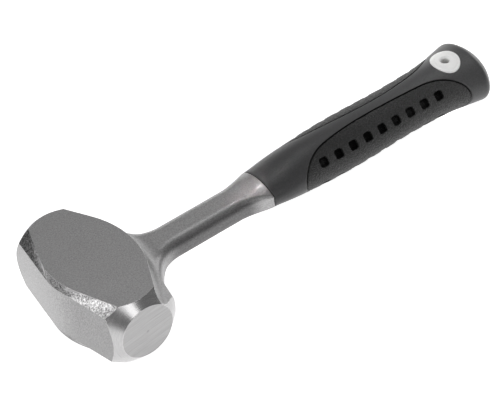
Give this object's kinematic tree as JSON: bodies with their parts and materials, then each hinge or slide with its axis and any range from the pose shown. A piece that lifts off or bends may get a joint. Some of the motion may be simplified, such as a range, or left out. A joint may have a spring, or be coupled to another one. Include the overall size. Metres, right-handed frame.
{
  "type": "lump hammer",
  "caption": "Double-faced lump hammer forged in one piece with its flat shank, with a contoured soft grip, textured side panels and a lanyard eye in the butt.",
  "frame": {"origin": "middle of the lower cheek of the head, the flat it lies on, level with the middle between the two striking faces", "axes": "+X along the handle from the head to the butt, +Y along the striking axis towards the far face, +Z square to the cheeks and up from the cheek it lies on"},
  "size_m": [0.3211, 0.104, 0.044],
  "materials": {
    "forged_steel": "shot-blasted satin on cheeks and shank, turned ends, ground faces",
    "core_plastic": "as moulded, hidden inside the grip",
    "grip_rubber": "smooth satin dark grey elastomer",
    "panel_rubber": "darker elastomer with a fine pebbled texture",
    "eye_plastic": "smooth white plastic"
  },
  "bodies": {
    "root": {"forged_hammer": "forged_steel", "grip_core": "core_plastic", "grip_body": "grip_rubber", "near_side_panel": "panel_rubber", "far_side_panel": "panel_rubber", "lanyard_eye_upper": "eye_plastic", "lanyard_eye_lower": "eye_plastic"}
  },
  "joints": []
}
